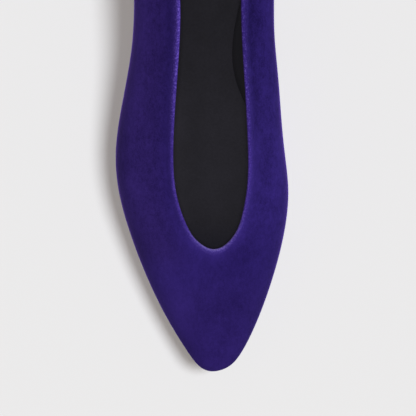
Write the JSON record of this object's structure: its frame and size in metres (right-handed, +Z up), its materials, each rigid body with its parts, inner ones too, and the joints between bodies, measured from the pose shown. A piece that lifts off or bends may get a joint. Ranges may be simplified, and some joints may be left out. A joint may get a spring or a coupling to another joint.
{
  "type": "pointed toe flat shoe",
  "caption": "Woman's velvet pointed toe flat shoe with a deep rounded throat, black inside, thin sole and low heel, standing empty.",
  "frame": {"origin": "on the floor, under the middle of the shoe's bounding box", "axes": "+Z up; the toe points along -Y and the heel along +Y; the inner side of the foot faces +X"},
  "size_m": [0.0826, 0.264, 0.0642],
  "materials": {
    "velvet": "dark violet velvet with a mottled nap",
    "black_leather": "matt black lining leather",
    "sole": "matt black",
    "heel": "black, half matt",
    "top_piece": "matt black"
  },
  "bodies": {
    "root": {"upper": "velvet", "insole": "black_leather", "outsole": "sole", "heel": "heel", "heel_top_piece": "top_piece"}
  },
  "joints": []
}
